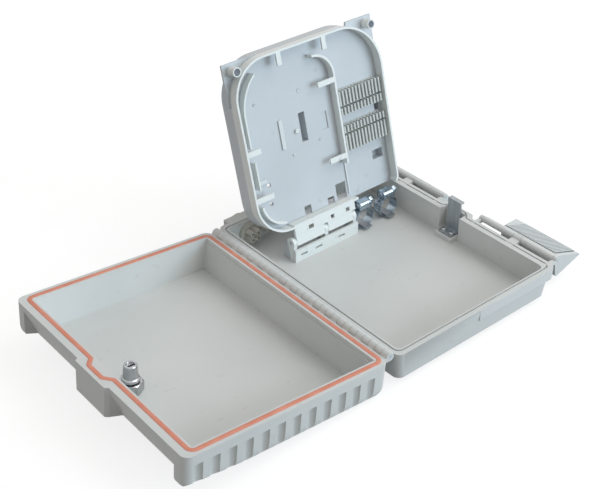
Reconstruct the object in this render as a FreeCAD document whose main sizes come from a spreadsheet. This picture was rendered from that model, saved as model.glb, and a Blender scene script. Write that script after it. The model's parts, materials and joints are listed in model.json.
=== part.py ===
import FreeCAD, Part
import math
import os
import types

import Sketcher
from FreeCAD import Placement, Rotation, Vector

doc = FreeCAD.newDocument("FibreTerminationBox")
sheet = doc.addObject("Spreadsheet::Sheet", "Dimensions")

# All lengths in millimetres, angles in degrees.
# X runs from the hinge to the lock, Y to the cable ports, Z off the wall.
sizes = {
    "rail_height": 6, "rail_half": 90, "rail_near": 70, "rail_far": 86, "spine_half": 12,
    "floor_thick": 2.8, "rim_height": 34, "back_hinge": 91, "back_lock": 90, "back_half": 118.5,
    "rim_hinge": 94.5, "rim_lock": 92, "rim_half": 121.5, "flange_lock": 97.5, "flange_tall": 11,
    "room_side": 88, "room_half": 114.4, "room_turn": 5, "corner_round": 7,
    "seal_hinge": 9, "seal_lock": 193.2, "seal_half": 116.4, "seal_jog": 199.2, "seal_turn": 5.5,
    "jog_wide": 16.5, "jog_narrow": 9.5, "jog_mitre": 0.38, "groove_wide": 1.6, "groove_deep": 1.6,
    "bump_out": 102.6, "bump_wide": 20, "bump_narrow": 16, "pocket_out": 97.3, "pocket_half": 12.5,
    "pad_top": 12.6, "pad_inner": 80, "pad_half": 11,
    "hinge_reach": 99.6, "knuckle_round": 4, "hinge_half": 117, "pin_round": 1.25, "run_gap": 0.05,
    "part_gap": 0.3,
    "latch_reach": 106.4, "latch_high": 33, "latch_inner": 27, "latch_outer": 111, "latch_barrel": 3,
    "lug_wide": 9, "lug_end": 3.7, "latch_long": 39, "latch_deep": 19, "near_slope": 18, "far_slope": 38,
    "rib_wide": 0.9, "rib_tall": 0.5, "rib_pitch": 3.6, "slant_wide": 20, "slant_narrow": 7,
    "port_high": 20.4, "drop_port": -63.6, "drop_round": 9.5, "small_port": -46.2, "small_round": 4,
    "feeder_round": 8, "flange_lip": 1.4, "cable_round": 5, "drop_hole": 1.5, "drop_circle": 4.4,
    "hood_start": 100, "hood_out": 131, "hood_low": 9, "hood_top": 32, "hood_left": -80,
    "hood_right": -38.5, "feeder_left": 24, "feeder_right": 81,
    "clamp_inner": 37, "clamp_outer": 67.5, "clamp_near": 61.5, "clamp_wide": 9, "band_round": 11.3,
    "band_thick": 0.8, "worm_high": 14.2, "worm_round": 2.6, "house_wide": 14, "house_deep": 11,
    "worm_head": 3.6, "head_long": 4,
    "tongue_low": 11, "tongue_thick": 1.5, "tongue_half": 4, "tongue_near": 56, "plate_near": 84,
    "plate_far": 104, "plate_left": 25, "plate_right": 79.5, "plate_screw": 94, "boss_round": 4.5,
    "screw_round": 1.6, "head_round": 3, "head_tall": 1.8,
    "cover_tilt": 5.25, "cover_back": 4.6, "cover_end": 201.5, "cover_deep": 35.58, "cover_round": 8,
    "heel_round": 12, "front_thick": 3.38, "inside_hinge": 14.5, "inside_lock": 189.4,
    "inside_half": 112.6, "ledge_deep": 4, "ledge_wide": 1.2,
    "bottom_hinge": 16, "bottom_lock": 178, "bottom_half_hinge": 112, "bottom_half_lock": 108.5,
    "bevel_start": 57, "bevel_rise": 11.5, "bevel_slope": 0.85, "bevel_end": 205,
    "nose_start": 178, "nose_rise": 9, "recess_inner": 23, "recess_outer": 108, "recess_slope": 14,
    "flange_thick": 5, "block_in": 190, "block_out": 204.5, "block_tall": 28, "block_bevel": 2.5,
    "flute_round": 4.5, "flute_deep": 3.4, "flute_top": 9, "flute_first": 24, "flute_pitch": 15.1,
    "seal_wide": 3.4, "seal_tall": 2.9, "seal_seat": 2.4, "seal_ease": 0.1,
    "lock_reach": 168, "lock_round": 5, "lock_head": 8.5, "head_thick": 2, "nut_across": 18.5,
    "nut_tall": 10, "barrel_proud": 0.4, "spindle_round": 2.5, "knob_round": 7.6, "knob_tip": 5.4,
    "knob_top": 6.5, "knob_cup": 3.6, "cup_deep": 1.4, "slot_wide": 1.8, "slot_deep": 4, "key_wide": 1,
    "catch_half": 8, "catch_thick": 1.6, "catch_web": 93.6, "catch_top": 46, "catch_foot": 82.5,
    "catch_lip": 98.5, "catch_screw": 87.5, "catch_pitch": 5,
    "tray_far": 66, "tray_high": 27, "tray_lean": 14.6, "tray_half": 84, "tray_low": 14, "tray_tip": 177.5,
    "tray_rim": 5.1, "tray_floor": -5, "tray_skin": 2, "tray_back": -17.4, "gap_right": 80,
    "turn_left": 36, "turn_right": 46, "turn_low": 34, "turn_small": 6, "ear_side": 85.5, "ear_tip": 178,
    "ear_left_low": 140, "ear_right_low": 148, "ear_cut": 14, "ear_step": 4,
    "post_side": 77, "post_high": 171, "post_round": 4.2, "buffer_round": 3.2, "buffer_thick": 1.2,
    "guide_side": 28, "guide_turn": 23, "guide_thick": 2.2, "guide_low": 52, "guide_high": 139,
    "guide_top": 3, "tab_thick": 1.6, "tab_wide": 5, "lip_low": 19, "lip_tall": 1.2,
    "sweep_side": -31.4, "sweep_high": 128, "sweep_round": 45.8, "sweep_thick": 1.6, "stud_deep": 8,
    "strip_left": -48, "strip_low": 6.2, "strip_thick": 2.6,
    "comb_left": 29, "comb_right": 80, "comb_plate": 1.4, "comb_tall": 7, "comb_fin": 1.9,
    "comb_pitch": 4.05, "upper_low": 96.4, "upper_split": 105, "upper_high": 120.4,
    "lower_low": 61.4, "lower_split": 79, "lower_high": 87,
    "bracket_left": -52, "bracket_right": 25, "bracket_near": 58.4, "bracket_far": 76,
    "bracket_screw": 64.2, "bracket_thick": 2.5, "bracket_top": 21.4, "tray_barrel": 4.6,
    "lug_barrel": 5, "cheek_wide": 4, "cheek_middle": -12, "tray_pin": 1.5,
}


class Dim:
    # A length that knows both its number and the sheet expression it comes from.
    def __init__(self, value, text=None):
        self.value = float(value)
        self.text = text or "({})".format(float(value))

    def joined(self, other, sign, value):
        return Dim(value, "({} {} {})".format(self.text, sign, other.text))

    def __add__(self, other):
        other = dim(other)
        return self.joined(other, "+", self.value + other.value)

    def __sub__(self, other):
        other = dim(other)
        return self.joined(other, "-", self.value - other.value)

    def __mul__(self, other):
        other = dim(other)
        return self.joined(other, "*", self.value * other.value)

    def __truediv__(self, other):
        other = dim(other)
        return self.joined(other, "/", self.value / other.value)

    def __radd__(self, other):
        return dim(other) + self

    def __rsub__(self, other):
        return dim(other) - self

    def __rmul__(self, other):
        return dim(other) * self

    def __neg__(self):
        return Dim(-self.value, "(0 - {})".format(self.text))


def dim(amount):
    return amount if isinstance(amount, Dim) else Dim(amount)


for row, (alias, value) in enumerate(sizes.items(), 1):
    sheet.set("A{}".format(row), alias)
    sheet.set("B{}".format(row), str(value))
    sheet.setAlias("B{}".format(row), alias)
doc.recompute()
d = types.SimpleNamespace(**{name: Dim(value, "Dimensions." + name) for name, value in sizes.items()})

nodes = []
axisTurn = {
    "X": Rotation(Vector(0, 1, 0), 90),
    "Y": Rotation(Vector(1, 0, 0), -90),
    "Z": Rotation(),
}


def bind(item, prop, amount):
    item.setExpression(prop, dim(amount).text)


def moveTo(item, x, y, z):
    for letter, amount in zip("xyz", (x, y, z)):
        bind(item, "Placement.Base." + letter, amount)


def box(label, xSpan, ySpan, zSpan):
    item = doc.addObject("Part::Box", label)
    for prop, span in zip(("Length", "Width", "Height"), (xSpan, ySpan, zSpan)):
        bind(item, prop, dim(span[1]) - span[0])
    moveTo(item, xSpan[0], ySpan[0], zSpan[0])
    return item


def rod(label, axis, radius, span, across, sides=0):
    # across holds the two coordinates the axis does not run along, in X, Y, Z order.
    # With sides given the rod has that many flats, which lie at the radius.
    item = doc.addObject("Part::Prism" if sides else "Part::Cylinder", label)
    item.Placement = Placement(Vector(), axisTurn[axis])
    if sides:
        item.Polygon = sides
        bind(item, "Circumradius", dim(radius) / math.cos(math.pi / sides))
    else:
        bind(item, "Radius", radius)
    bind(item, "Height", dim(span[1]) - span[0])
    start = {"X": (span[0], across[0], across[1]), "Y": (across[0], span[0], across[1]),
             "Z": (across[0], across[1], span[0])}[axis]
    moveTo(item, *start)
    return item


def fuse(label, items):
    item = doc.addObject("Part::MultiFuse", label)
    item.Shapes = items
    item.Refine = True
    return item


def cut(label, base, tools):
    item = doc.addObject("Part::Cut", label)
    item.Base = base
    item.Tool = tools[0] if len(tools) == 1 else fuse(label + "Tools", tools)
    item.Refine = True
    return item


def sketch(body, name, plane, offset, loops):
    # Each loop is a closed polygon; every corner is held by two dimensions bound to the sheet.
    item = body.newObject("Sketcher::SketchObject", name)
    planes = {feature.Role: feature for feature in body.Origin.OriginFeatures}
    item.AttachmentSupport = (planes[plane + "_Plane"], [""])
    item.MapMode = "FlatFace"
    bind(item, "AttachmentOffset.Base.z", offset)
    for loop in loops:
        first = item.GeometryCount
        corners = [(dim(a), dim(b)) for a, b in loop]
        points = [Vector(a.value, b.value, 0) for a, b in corners]
        count = len(points)
        for k in range(count):
            item.addGeometry(Part.LineSegment(points[k], points[(k + 1) % count]), False)
        for k in range(count):
            item.addConstraint(Sketcher.Constraint("Coincident", first + k, 2, first + (k + 1) % count, 1))
        for k, corner in enumerate(corners):
            for kind, amount in zip(("DistanceX", "DistanceY"), corner):
                place = item.addConstraint(Sketcher.Constraint(kind, first + k, 1, amount.value))
                bind(item, "Constraints[{}]".format(place), amount)
    return item


def rectangle(xSpan, ySpan):
    return [(xSpan[0], ySpan[0]), (xSpan[1], ySpan[0]), (xSpan[1], ySpan[1]), (xSpan[0], ySpan[1])]


def newBody(label):
    return doc.addObject("PartDesign::Body", label)


def pad(body, profile, length):
    item = body.newObject("PartDesign::Pad", profile.Name + "Pad")
    item.Profile = profile
    bind(item, "Length", length)
    return item


def prism(label, plane, loops, span):
    # The XZ plane looks along -Y, so its sketch sits at the far end of the span.
    body = newBody(label)
    offset = -dim(span[1]) if plane == "XZ" else span[0]
    profile = sketch(body, label + "Sketch", plane, offset, loops)
    pad(body, profile, dim(span[1]) - span[0])
    return body


def loft(label, plane, sections):
    body = newBody(label)
    profiles = [sketch(body, "{}Section{}".format(label, k), plane, offset, [loop])
                for k, (offset, loop) in enumerate(sections)]
    item = body.newObject("PartDesign::AdditiveLoft", label + "Loft")
    item.Profile = profiles[0]
    item.Sections = profiles[1:]
    item.Ruled = True
    return body


def roundEdges(body, radius, middles):
    # The edges to round are found by their middle points.
    doc.recompute()
    tip = body.Tip
    names = []
    for k, edge in enumerate(tip.Shape.Edges, 1):
        ends = [vertex.Point for vertex in edge.Vertexes]
        middle = (ends[0] + ends[-1]) * 0.5
        if any(middle.distanceToPoint(Vector(*spot)) < 0.05 for spot in middles):
            names.append("Edge{}".format(k))
    item = body.newObject("PartDesign::Fillet", body.Name + "Round{}".format(len(body.Group)))
    item.Base = (tip, names)
    bind(item, "Radius", radius)
    doc.recompute()


def roundedPlate(label, xSpan, ySpan, zSpan, radii):
    # radii belong to the corners low-left, low-right, high-right and high-left
    corners = rectangle(xSpan, ySpan)
    body = prism(label, "XY", [corners], zSpan)
    height = (dim(zSpan[0]).value + dim(zSpan[1]).value) / 2
    for (x, y), radius in zip(corners, radii):
        roundEdges(body, radius, [(dim(x).value, dim(y).value, height)])
    return body


def node(item, label, place=None):
    item.Label = label
    if place is not None:
        item.Placement = place
    nodes.append(item)
    return item


def screws(label, spots, headZ, shankLength, place=None):
    pieces = []
    for k, spot in enumerate(spots):
        tall = (headZ, headZ + d.head_tall)
        head = rod("{}Head{}".format(label, k), "Z", d.head_round, tall, spot, screwSides)
        deep = (headZ - shankLength, headZ)
        shank = rod("{}Shank{}".format(label, k), "Z", d.screw_round, deep, spot, screwSides)
        pieces.append(fuse("{}Piece{}".format(label, k), [head, shank]))
    return node(fuse(label + "Set", pieces), label, place)


def cornerTurn(x, y, radius, start):
    # A quarter turn as a few chords round the given centre
    angles = [math.radians(start + 90 * k / cornerChords) for k in range(cornerChords + 1)]
    return [(x + radius * math.cos(angle), y + radius * math.sin(angle)) for angle in angles]


def sealPath(grow, shift, sign):
    # The seal line runs round the rim and jogs out round the lock; grow offsets it outward.
    turn = d.seal_turn + grow
    low = d.seal_hinge - grow + turn
    high = d.seal_lock + grow - turn
    far = d.seal_half + grow - turn
    wide = d.jog_wide + grow * d.jog_mitre
    narrow = d.jog_narrow + grow * d.jog_mitre
    line = cornerTurn(low, -far, turn, 180) + cornerTurn(high, -far, turn, 270)
    line += [(d.seal_lock + grow, -wide), (d.seal_jog + grow, -narrow),
             (d.seal_jog + grow, narrow), (d.seal_lock + grow, wide)]
    line += cornerTurn(high, far, turn, 0) + cornerTurn(low, far, turn, 90)
    return [(sign * x + shift, y) for x, y in line]


def sealRing(label, half, shift, sign, span):
    # A band of twice the half width along the seal line
    return prism(label, "XY", [sealPath(half, shift, sign), sealPath(-half, shift, sign)], span)


coverPlace = Placement(Vector(-d.hinge_reach.value, 0, d.rim_height.value),
                       Rotation(Vector(0, 1, 0), d.cover_tilt.value))
trayPlace = Placement(Vector(0, d.tray_far.value, d.tray_high.value),
                      Rotation(Vector(1, 0, 0), 90 - d.tray_lean.value))
floorTop = d.rail_height + d.floor_thick
holeRound = d.pin_round + d.run_gap
screwHole = d.screw_round + d.run_gap
clampHigh = floorTop + d.band_round
plateSpots = [(31, d.plate_screw), (73.5, d.plate_screw)]
bracketSpots = [(-38, d.bracket_screw), (9, d.bracket_screw)]
catchSpots = [(d.catch_screw, -d.catch_pitch), (d.catch_screw, d.catch_pitch)]

# Flats on the round pieces that repeat
knuckleSides = 10
barrelSides = 12
boreSides = 6
screwSides = 8
fluteSides = 10
portSides = 16
bandSides = 18
knobSides = 16
cornerChords = 4

# Piano hinge: knuckles alternate between cover and base, the cover has the outermost ones
knuckleCount = 31
knucklePitch = 2 * d.hinge_half / knuckleCount


def knuckleSpan(k):
    low = knucklePitch * k - d.hinge_half
    return (low + d.part_gap / 2, low + knucklePitch - d.part_gap / 2)


def latchSpans(sign):
    # Y spans of the lugs and of the barrel pieces between them for one latch
    middle = (d.latch_inner + d.latch_outer) / 2
    half = d.lug_wide / 2
    lugs = [(d.latch_inner - d.part_gap - d.lug_end, d.latch_inner - d.part_gap),
            (middle - half, middle + half),
            (d.latch_outer + d.part_gap, d.latch_outer + d.part_gap + d.lug_end)]
    barrels = [(d.latch_inner, middle - half - d.part_gap), (middle + half + d.part_gap, d.latch_outer)]
    if sign < 0:
        lugs = [(-high, -low) for low, high in lugs]
        barrels = [(-high, -low) for low, high in barrels]
    return lugs, barrels


def baseShell():
    wedge = doc.addObject("Part::Wedge", "BaseWedge")
    wedge.Placement = Placement(Vector(), Rotation(Vector(1, 0, 0), 90))
    faces = {"Xmin": -d.back_hinge, "Xmax": d.back_lock, "Zmin": -d.back_half, "Zmax": d.back_half,
             "Ymin": d.rail_height, "Ymax": d.rim_height, "X2min": -d.rim_hinge, "X2max": d.rim_lock,
             "Z2min": -d.rim_half, "Z2max": d.rim_half}
    for prop, amount in faces.items():
        bind(wedge, prop, amount)
    doc.recompute()
    form = doc.addObject("Part::Fillet", "BaseForm")
    form.Base = wedge
    turn = d.corner_round.value
    upright = [k for k, edge in enumerate(wedge.Shape.Edges, 1) if edge.BoundBox.ZLength > 1]
    form.Edges = [(k, turn, turn) for k in upright]
    flange = roundedPlate("LockFlange", (0, d.flange_lock), (-d.rim_half, d.rim_half),
                          (d.rim_height - d.flange_tall, d.rim_height),
                          (1, d.corner_round, d.corner_round, 1))
    bump = prism("LockBump", "XY", [[(d.pad_inner, -d.bump_wide), (d.flange_lock, -d.bump_wide),
                 (d.bump_out, -d.bump_narrow), (d.bump_out, d.bump_narrow),
                 (d.flange_lock, d.bump_wide), (d.pad_inner, d.bump_wide)]], (d.rail_height, d.rim_height))
    hoodSpans = (("Drop", d.hood_left, d.hood_right), ("Feeder", d.feeder_left, d.feeder_right))
    hoods = [box(name + "Hood", (left, right), (d.hood_start, d.hood_out), (d.hood_low, d.hood_top))
             for name, left, right in hoodSpans]
    rails = []
    for k, sign in enumerate((-1, 1)):
        ySpan = (d.rail_near, d.rail_far) if sign > 0 else (-d.rail_far, -d.rail_near)
        rails.append(box("Rail{}".format(k), (-d.rail_half, d.rail_half), ySpan, (0, d.rail_height + 1)))
    rails.append(box("RailSpine", (-d.spine_half, d.spine_half), (-d.rail_near - 1, d.rail_near + 1),
                     (0, d.rail_height + 1)))
    solid = fuse("BaseSolid", [form, flange, bump] + hoods + rails)

    room = roundedPlate("BaseRoom", (-d.room_side, d.room_side), (-d.room_half, d.room_half),
                        (floorTop, d.rim_height + 5), [d.room_turn] * 4)
    pocket = box("LockPocket", (d.pad_inner, d.pocket_out), (-d.pocket_half, d.pocket_half),
                 (d.pad_top, d.rim_height + 5))
    groove = sealRing("RimGroove", d.groove_wide / 2, -d.hinge_reach, 1,
                      (d.rim_height - d.groove_deep, d.rim_height + 1))
    tools = [room, pocket, groove]
    ports = [(d.drop_port, d.drop_round), (d.small_port, d.small_round),
             (d.clamp_inner, d.feeder_round), (d.clamp_outer, d.feeder_round)]
    for k, (x, radius) in enumerate(ports):
        tools.append(rod("Port{}".format(k), "Y", radius, (d.hood_start + 5, d.hood_out + 5),
                         (x, d.port_high), portSides))
    hollow = cut("BaseHollow", solid, tools)

    sunk = d.rail_height + 1
    extras = [box("CatchPad", (d.pad_inner, d.room_side + 3), (-d.pad_half, d.pad_half), (sunk, d.pad_top))]
    for k, spot in enumerate(plateSpots):
        tall = (sunk, d.tongue_low)
        extras.append(rod("PlateBoss{}".format(k), "Z", d.boss_round, tall, spot, barrelSides))
    for k in range(1, knuckleCount, 2):
        span = knuckleSpan(k)
        extras.append(rod("BaseKnuckle{}".format(k), "Y", d.knuckle_round, span,
                          (-d.hinge_reach, d.rim_height), knuckleSides))
        extras.append(box("BaseArm{}".format(k), (-d.hinge_reach, -d.rim_hinge + 2), span,
                          (d.rim_height - d.knuckle_round, d.rim_height)))
    for sign in (-1, 1):
        for k, span in enumerate(latchSpans(sign)[0]):
            name = "{}{}".format("Near" if sign < 0 else "Far", k)
            extras.append(rod("Lug" + name, "Y", d.latch_barrel, span,
                              (d.latch_reach, d.latch_high), barrelSides))
            extras.append(box("LugArm" + name, (d.rim_lock, d.latch_reach), span,
                              (d.latch_high - d.latch_barrel, d.latch_high + 0.6)))
    bores = [rod("HingeBore", "Y", holeRound, (-130, 130), (-d.hinge_reach, d.rim_height), boreSides),
             rod("LatchBore", "Y", holeRound, (-120, 120), (d.latch_reach, d.latch_high), boreSides)]
    holeSets = (("Plate", plateSpots, d.tongue_low - 3.5), ("Catch", catchSpots, d.pad_top - 4),
                ("Bracket", bracketSpots, d.rail_height + 0.6))
    for name, spots, low in holeSets:
        for k, spot in enumerate(spots):
            bores.append(rod("{}Hole{}".format(name, k), "Z", screwHole, (low, 20), spot, screwSides))
    node(cut("BaseCut", fuse("BaseJoined", [hollow] + extras), bores), "base_shell")


def pins():
    ends = (-d.hinge_half, d.hinge_half)
    node(rod("HingePin", "Y", d.pin_round, ends, (-d.hinge_reach, d.rim_height)), "cover_hinge_pin")
    low = d.latch_inner - d.part_gap - d.lug_end
    high = d.latch_outer + d.part_gap + d.lug_end
    across = (d.latch_reach, d.latch_high)
    node(rod("LatchPinNear", "Y", d.pin_round, (-high, -low), across), "latch_pin_near")
    node(rod("LatchPinFar", "Y", d.pin_round, (low, high), across), "latch_pin_far")
    node(rod("TrayPin", "X", d.tray_pin, (d.bracket_left, d.bracket_right), (d.tray_far, d.tray_high)),
         "tray_hinge_pin")


def cheekSpans():
    return [(d.bracket_left, d.bracket_left + d.cheek_wide),
            (d.cheek_middle - d.cheek_wide / 2, d.cheek_middle + d.cheek_wide / 2),
            (d.bracket_right - d.cheek_wide, d.bracket_right)]


def trayBracket():
    width = (d.bracket_left, d.bracket_right)
    top = floorTop + d.bracket_thick
    pieces = [box("BracketSole", width, (d.bracket_near, d.bracket_far), (floorTop, top)),
              box("BracketFront", width, (d.bracket_near, d.bracket_near + d.bracket_thick),
                  (floorTop, d.bracket_top))]
    for k, span in enumerate(cheekSpans()):
        pieces.append(rod("CheekEye{}".format(k), "X", d.lug_barrel, span,
                          (d.tray_far, d.tray_high), barrelSides))
        pieces.append(prism("Cheek{}".format(k), "YZ", [[
            (d.tray_far - 4, floorTop), (d.tray_far + 8, floorTop),
            (d.tray_far + d.lug_barrel, d.tray_high), (d.tray_far - d.lug_barrel, d.tray_high)]], span))
    tools = [rod("BracketBore", "X", d.tray_pin + d.run_gap, (-60, 40), (d.tray_far, d.tray_high), boreSides)]
    for k, spot in enumerate(bracketSpots):
        tools.append(rod("SoleHole{}".format(k), "Z", screwHole, (0, 30), spot, screwSides))
    for k, x in enumerate((-46, -28, 0)):
        tools.append(box("FrontSlot{}".format(k), (x, x + 8), (50, d.bracket_near + 4), (14, 16.4)))
    node(cut("BracketCut", fuse("BracketSolid", pieces), tools), "tray_bracket")
    screws("bracket_screws", bracketSpots, top, 4.4)


def lockCatch():
    width = (-d.catch_half, d.catch_half)
    top = d.pad_top + d.catch_thick
    pieces = [box("CatchFoot", (d.catch_foot, d.catch_web + d.catch_thick), width, (d.pad_top, top)),
              box("CatchWeb", (d.catch_web, d.catch_web + d.catch_thick), width, (d.pad_top, d.catch_top)),
              box("CatchLip", (d.catch_web, d.catch_lip), width, (d.catch_top - d.catch_thick, d.catch_top))]
    tools = [rod("CatchBore{}".format(k), "Z", screwHole, (0, 30), spot, screwSides)
             for k, spot in enumerate(catchSpots)]
    node(cut("CatchCut", fuse("CatchSolid", pieces), tools), "lock_catch")
    screws("lock_catch_screws", catchSpots, top, 4.8)


def clampPlate():
    top = d.tongue_low + d.tongue_thick
    thick = (d.tongue_low, top)
    pieces = [box("PlateField", (d.plate_left, d.plate_right), (d.plate_near, d.plate_far), thick)]
    for name, x in (("Inner", d.clamp_inner), ("Outer", d.clamp_outer)):
        pieces.append(box("Tongue" + name, (x - d.tongue_half, x + d.tongue_half),
                          (d.tongue_near, d.plate_near + 1), thick))
    tools = [rod("PlateBore{}".format(k), "Z", screwHole, (0, 30), spot, screwSides)
             for k, spot in enumerate(plateSpots)]
    node(cut("PlateCut", fuse("PlateSolid", pieces), tools), "clamp_plate")
    screws("clamp_plate_screws", plateSpots, top, 4.8)


def hoseClamp(name, x):
    # Worm-drive clamp standing on the floor: its ring axis follows the cable, the worm lies across on top
    span = (d.clamp_near, d.clamp_near + d.clamp_wide)
    centre = (x, clampHigh)
    outer = rod("Band" + name, "Y", d.band_round, span, centre, bandSides)
    inner = rod("BandHole" + name, "Y", d.band_round - d.band_thick, (50, 90), centre, bandSides)
    node(cut("BandRing" + name, outer, [inner]), "clamp_band_" + name.lower())
    middle = d.clamp_near + d.clamp_wide / 2
    wormZ = clampHigh + d.worm_high
    half = d.house_wide / 2
    house = box("House" + name, (x - half, x + half), (middle - d.house_deep / 2, middle + d.house_deep / 2),
                (clampHigh + d.band_round - 2.5, wormZ + d.worm_round + 0.9))
    saddle = rod("Saddle" + name, "Y", d.band_round + d.run_gap, (50, 90), centre, bandSides)
    axis = (middle, wormZ)
    wormBore = rod("WormBore" + name, "X", d.worm_round + d.run_gap, (x - 20, x + 20), axis, screwSides)
    node(cut("HouseCut" + name, house, [saddle, wormBore]), "clamp_housing_" + name.lower())
    face = x + half + 0.4
    worm = rod("Worm" + name, "X", d.worm_round, (x - half - 0.6, face), axis, screwSides)
    head = rod("WormHead" + name, "X", d.worm_head, (face, face + d.head_long), axis, screwSides)
    node(fuse("WormSolid" + name, [worm, head]), "clamp_screw_" + name.lower())


def grommet(label, x, radius, holes, holeSides):
    # The core fills its port between a flange inside the wall and one outside the hood
    inner = d.room_half
    outer = d.hood_out
    z = d.port_high
    pieces = [rod(label + "Core", "Y", radius, (inner - 3, outer + 2), (x, z), portSides),
              rod(label + "Inner", "Y", radius + d.flange_lip, (inner - 3, inner), (x, z), portSides),
              rod(label + "Outer", "Y", radius + d.flange_lip, (outer, outer + 2), (x, z), portSides)]
    tools = [rod("{}Hole{}".format(label, k), "Y", size, (100, 140), (x + dx, z + dz), holeSides)
             for k, (dx, dz, size) in enumerate(holes)]
    node(cut(label + "Cut", fuse(label + "Solid", pieces), tools), label)


def coverShell():
    block = prism("CoverBlock", "XY", [rectangle((-d.cover_end, -d.cover_back), (-d.rim_half, d.rim_half))],
                  (-d.cover_deep, 0))
    deep = -d.cover_deep.value / 2
    for x, radius in ((-d.cover_back.value, d.cover_round), (-d.cover_end.value, d.corner_round)):
        for sign in (-1, 1):
            roundEdges(block, radius, [(x, sign * d.rim_half.value, deep)])
    roundEdges(block, d.heel_round, [(-d.cover_back.value, 0, -d.cover_deep.value)])

    tools = []
    # Long bevels along both sides, rising from nothing to their full height at the lock end:
    # each is one plane, the top face of a block that lies turned against the side
    low = -d.cover_deep - 1
    climb = d.bevel_rise.value / (d.bevel_end.value - d.bevel_start.value)
    for sign in (-1, 1):
        turn = Rotation(Vector(0, 0, 1), Vector(climb, -sign * d.bevel_slope.value, 1))
        edge = Vector(-d.bevel_start.value, sign * d.rim_half.value, -d.cover_deep.value)
        bevel = doc.addObject("Part::Box", "Bevel{}".format("Near" if sign < 0 else "Far"))
        bevel.Length = 4 * d.cover_end.value
        bevel.Width = 2 * d.rim_half.value
        bevel.Height = d.cover_deep.value
        middle = Vector(-bevel.Length.Value / 2, -bevel.Width.Value / 2, -bevel.Height.Value)
        bevel.Placement = Placement(edge, turn) * Placement(middle, Rotation())
        tools.append(bevel)
    tools.append(prism("Nose", "XZ", [[(-d.nose_start, -d.cover_deep), (-d.nose_start, low),
                 (-d.bevel_end, low), (-d.bevel_end, d.nose_rise - d.cover_deep)]], (-130, 130)))
    bottom = [(-d.bottom_lock, -d.bottom_half_lock), (-d.bottom_hinge, -d.bottom_half_hinge),
              (-d.bottom_hinge, d.bottom_half_hinge), (-d.bottom_lock, d.bottom_half_lock)]
    mouth = rectangle((-d.inside_lock, -d.inside_hinge), (-d.inside_half, d.inside_half))
    tools.append(loft("CoverRoom", "XY", [(d.front_thick - d.cover_deep, bottom), (0, mouth)]))
    tools.append(box("HingeLedge", (-d.inside_hinge - 1, d.ledge_wide - d.inside_hinge),
                     (-d.inside_half, d.inside_half), (-d.ledge_deep, 1)))
    # Triangular recesses for the latches leave a flange above and blocks at the corners and the middle
    for sign in (-1, 1):
        ySpan = (d.recess_inner, d.recess_outer) if sign > 0 else (-d.recess_outer, -d.recess_inner)
        tools.append(prism("Recess{}".format("Near" if sign < 0 else "Far"), "XZ", [[
            (-d.cover_end - 1, -d.flange_thick), (-d.cover_end, -d.flange_thick),
            (d.recess_slope - d.cover_end, low), (-d.cover_end - 1, low)]], ySpan))
    for k in range(12):
        reach = -(d.flute_first + d.flute_pitch * k)
        for sign in (-1, 1):
            name = "Flute{}{}".format("Near" if sign < 0 else "Far", k)
            offset = sign * (d.rim_half + d.flute_round - d.flute_deep)
            tools.append(rod(name, "Z", d.flute_round, (-d.cover_deep - 5, -d.flute_top),
                             (reach, offset), fluteSides))
    hollow = cut("CoverHollow", block, tools)

    half = d.recess_inner
    bevelled = half - d.block_bevel
    pieces = [hollow, prism("LockBlock", "XY", [[
        (-d.block_in, -half), (-d.cover_end, -half), (-d.block_out, -bevelled),
        (-d.block_out, bevelled), (-d.cover_end, half), (-d.block_in, half)]], (-d.block_tall, 0))]
    for k in range(0, knuckleCount, 2):
        span = knuckleSpan(k)
        pieces.append(rod("CoverKnuckle{}".format(k), "Y", d.knuckle_round, span, (0, 0), knuckleSides))
        pieces.append(box("CoverArm{}".format(k), (-d.cover_back - 3, 0), span, (-d.knuckle_round, 0)))
    seat = [sealRing("SealSeat", d.seal_wide / 2, 0, -1, (-d.seal_seat, 1)),
            rod("CoverBore", "Y", holeRound, (-130, 130), (0, 0), boreSides),
            rod("LockBore", "Z", d.lock_round + d.run_gap, (-50, 0), (-d.lock_reach, 0), knobSides)]
    node(cut("CoverCut", fuse("CoverJoined", pieces), seat), "cover_shell", coverPlace)


def taperedDrum(label, low, top, wide, narrow):
    # Tapered slabs crossed at even turns round the lock leave a drum with flat sides
    slabs = []
    for k in range(knobSides // 2):
        slab = doc.addObject("Part::Wedge", "{}Slab{}".format(label, k))
        turn = Rotation(Vector(0, 0, 1), 360 * k / knobSides)
        slab.Placement = Placement(Vector(-d.lock_reach.value, 0, 0), turn * Rotation(Vector(1, 0, 0), 90))
        spans = {"Xmin": -wide, "Xmax": wide, "X2min": -narrow, "X2max": narrow, "Ymin": low, "Ymax": top,
                 "Zmin": -3 * wide, "Zmax": 3 * wide, "Z2min": -3 * wide, "Z2max": 3 * wide}
        for prop, amount in spans.items():
            bind(slab, prop, amount)
        slabs.append(slab)
    drum = doc.addObject("Part::MultiCommon", label)
    drum.Shapes = slabs
    drum.Refine = True
    return drum


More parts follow.
